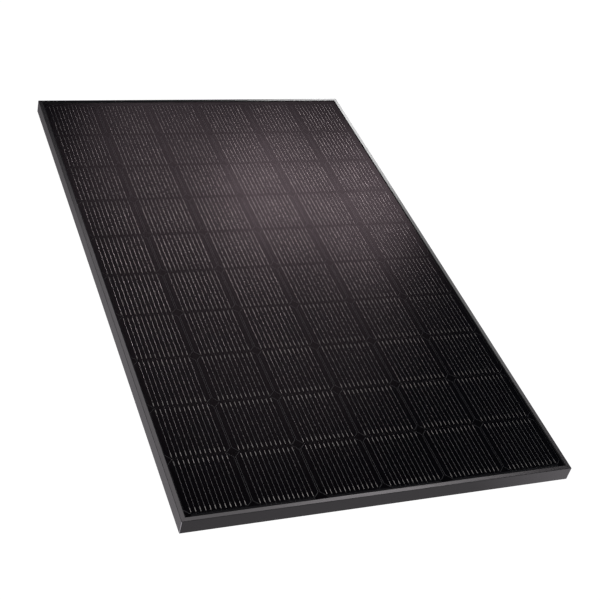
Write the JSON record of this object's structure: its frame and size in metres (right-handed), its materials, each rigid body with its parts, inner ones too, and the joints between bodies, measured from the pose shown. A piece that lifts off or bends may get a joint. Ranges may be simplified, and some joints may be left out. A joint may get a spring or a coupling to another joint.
{
  "type": "solar panel",
  "caption": "Framed monocrystalline solar panel with black cells, fine wires, a dark aluminium frame, and a junction box with two latching leads behind.",
  "frame": {"origin": "centre of the frame's back plane", "axes": "+X across the panel, +Y along its length towards the junction box, +Z out of the glass"},
  "size_m": [1.016, 1.7, 0.04],
  "materials": {
    "glass": "low-iron tempered glass, clear",
    "encapsulant": "clear laminated sheet",
    "cells": "near-black monocrystalline silicon with an anti-reflection coat",
    "wires": "tinned round wire",
    "ribbon": "black-coated ribbon",
    "backsheet": "black film",
    "frame": "black anodised, satin",
    "key": "mill finish",
    "sealant": "black silicone",
    "label": "silver film, blank",
    "box_plastic": "fine moulded texture",
    "gasket": "soft foam rubber",
    "tinned_copper": "tin plated",
    "diode": "moulded epoxy",
    "boot": "moulded rubber",
    "cable": "satin cable jacket",
    "copper": "bare copper strands",
    "connector": "satin moulded",
    "clamp_ring": "natural nylon",
    "rubber_seal": "silicone rubber"
  },
  "bodies": {
    "panel": {"front_glass": "glass", "front_encapsulant": "encapsulant", "cell_string_1": "cells", "cell_string_2": "cells", "cell_string_3": "cells", "cell_string_4": "cells", "cell_string_5": "cells", "cell_string_6": "cells", "string_wires_1": "wires", "string_wires_2": "wires", "string_wires_3": "wires", "string_wires_4": "wires", "string_wires_5": "wires", "string_wires_6": "wires", "bus_ribbons_top": "ribbon", "bus_ribbons_bottom": "ribbon", "rear_encapsulant": "encapsulant", "backsheet": "backsheet", "frame_rail_left": "frame", "frame_rail_right": "frame", "frame_rail_top": "frame", "frame_rail_bottom": "frame", "corner_keys": "key", "frame_seal": "sealant", "rating_label": "label", "box_adhesive": "sealant", "box_base": "box_plastic", "terminal_bars": "tinned_copper", "bypass_diodes": "diode", "cable_boots": "boot", "positive_cable_stub": "cable", "negative_cable_stub": "cable", "positive_core_stub": "copper", "negative_core_stub": "copper"},
    "box_lid": {"box_lid": "box_plastic", "box_gasket": "gasket"},
    "negative_lead": {"negative_cable_run": "cable", "negative_core_run": "copper"},
    "negative_lead_end": {"negative_cable_tail": "cable", "negative_core_tail": "copper", "plug_body": "connector", "plug_pin": "tinned_copper", "plug_cable_seal": "rubber_seal"},
    "plug_clamp_ring": {"plug_clamp_ring": "clamp_ring"},
    "plug_nut": {"plug_nut": "connector"},
    "positive_lead": {"positive_cable_run": "cable", "positive_core_run": "copper"},
    "positive_lead_end": {"positive_cable_tail": "cable", "positive_core_tail": "copper", "socket_body": "connector", "socket_sleeve": "tinned_copper", "socket_cable_seal": "rubber_seal", "socket_o_ring": "rubber_seal"},
    "socket_clamp_ring": {"socket_clamp_ring": "clamp_ring"},
    "socket_nut": {"socket_nut": "connector"},
    "socket_latch_left": {"socket_latch_left": "connector"},
    "socket_latch_right": {"socket_latch_right": "connector"}
  },
  "joints": [
    {"name": "lid_hinge", "type": "hinge", "parent": "panel", "child": "box_lid", "pos_m": [0, 0.7015, 0.01223], "axis": [-1, 0, 0], "range_deg": [0, 100]},
    {"name": "negative_lead_swing", "type": "hinge", "parent": "panel", "child": "negative_lead", "pos_m": [0.079, 0.752, 0.02148], "axis": [0, 0, 1], "range_deg": [-15, 3]},
    {"name": "negative_lead_bend", "type": "hinge", "parent": "negative_lead", "child": "negative_lead_end", "pos_m": [0.4, 0.452, 0.02148], "axis": [0, 0, 1], "range_deg": [-25, 6]},
    {"name": "plug_clamp_slide", "type": "slide", "parent": "negative_lead_end", "child": "plug_clamp_ring", "axis": [0, 1, 0], "range_m": [0, 0.0045]},
    {"name": "plug_nut_turn", "type": "hinge", "parent": "plug_clamp_ring", "child": "plug_nut", "pos_m": [0.4, 0.152, 0.02148], "axis": [0, 1, 0], "range_deg": [0, 1080]},
    {"name": "positive_lead_swing", "type": "hinge", "parent": "panel", "child": "positive_lead", "pos_m": [-0.079, 0.752, 0.02148], "axis": [0, 0, 1], "range_deg": [-3, 15]},
    {"name": "positive_lead_bend", "type": "hinge", "parent": "positive_lead", "child": "positive_lead_end", "pos_m": [-0.4, 0.452, 0.02148], "axis": [0, 0, 1], "range_deg": [-6, 25]},
    {"name": "socket_clamp_slide", "type": "slide", "parent": "positive_lead_end", "child": "socket_clamp_ring", "axis": [0, 1, 0], "range_m": [0, 0.0045]},
    {"name": "socket_nut_turn", "type": "hinge", "parent": "socket_clamp_ring", "child": "socket_nut", "pos_m": [-0.4, 0.152, 0.02148], "axis": [0, 1, 0], "range_deg": [0, 1080]},
    {"name": "latch_left_press", "type": "hinge", "parent": "positive_lead_end", "child": "socket_latch_left", "pos_m": [-0.4077, 0.12485, 0.02148], "axis": [0, 0, 1], "range_deg": [0, 6], "stiffness_Nm_per_rad": 0.001},
    {"name": "latch_right_press", "type": "hinge", "parent": "positive_lead_end", "child": "socket_latch_right", "pos_m": [-0.3923, 0.12485, 0.02148], "axis": [0, 0, 1], "range_deg": [-6, 0], "stiffness_Nm_per_rad": 0.001}
  ],
  "couplings": [
    {"joint": "plug_nut_turn", "follows": "plug_clamp_slide", "rad_per_m": 4188.8},
    {"joint": "socket_nut_turn", "follows": "socket_clamp_slide", "rad_per_m": 4188.8},
    {"joint": "latch_right_press", "follows": "latch_left_press", "ratio": -1}
  ]
}
